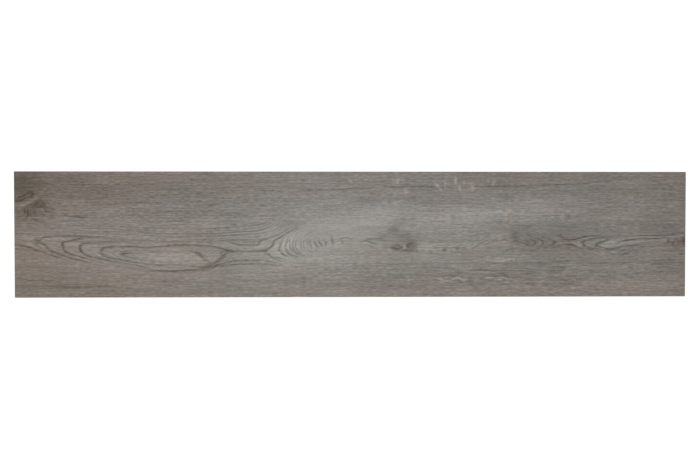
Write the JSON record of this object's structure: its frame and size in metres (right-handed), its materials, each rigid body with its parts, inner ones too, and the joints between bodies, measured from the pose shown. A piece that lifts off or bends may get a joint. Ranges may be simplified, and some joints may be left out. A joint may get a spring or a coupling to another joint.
{
  "type": "luxury vinyl tile",
  "caption": "Thin flat rectangular vinyl floor plank with a grey oak printed face, square butt edges and a back that is glued to the subfloor.",
  "frame": {"origin": "centre of the back, the face that is glued to the subfloor", "axes": "+X along the plank and its printed grain, +Y across the plank, +Z out of the walking surface"},
  "size_m": [1.22, 0.228, 0.0025],
  "materials": {
    "vinyl_laminate": "matte"
  },
  "bodies": {
    "root": {"plank": "vinyl_laminate"}
  },
  "joints": []
}
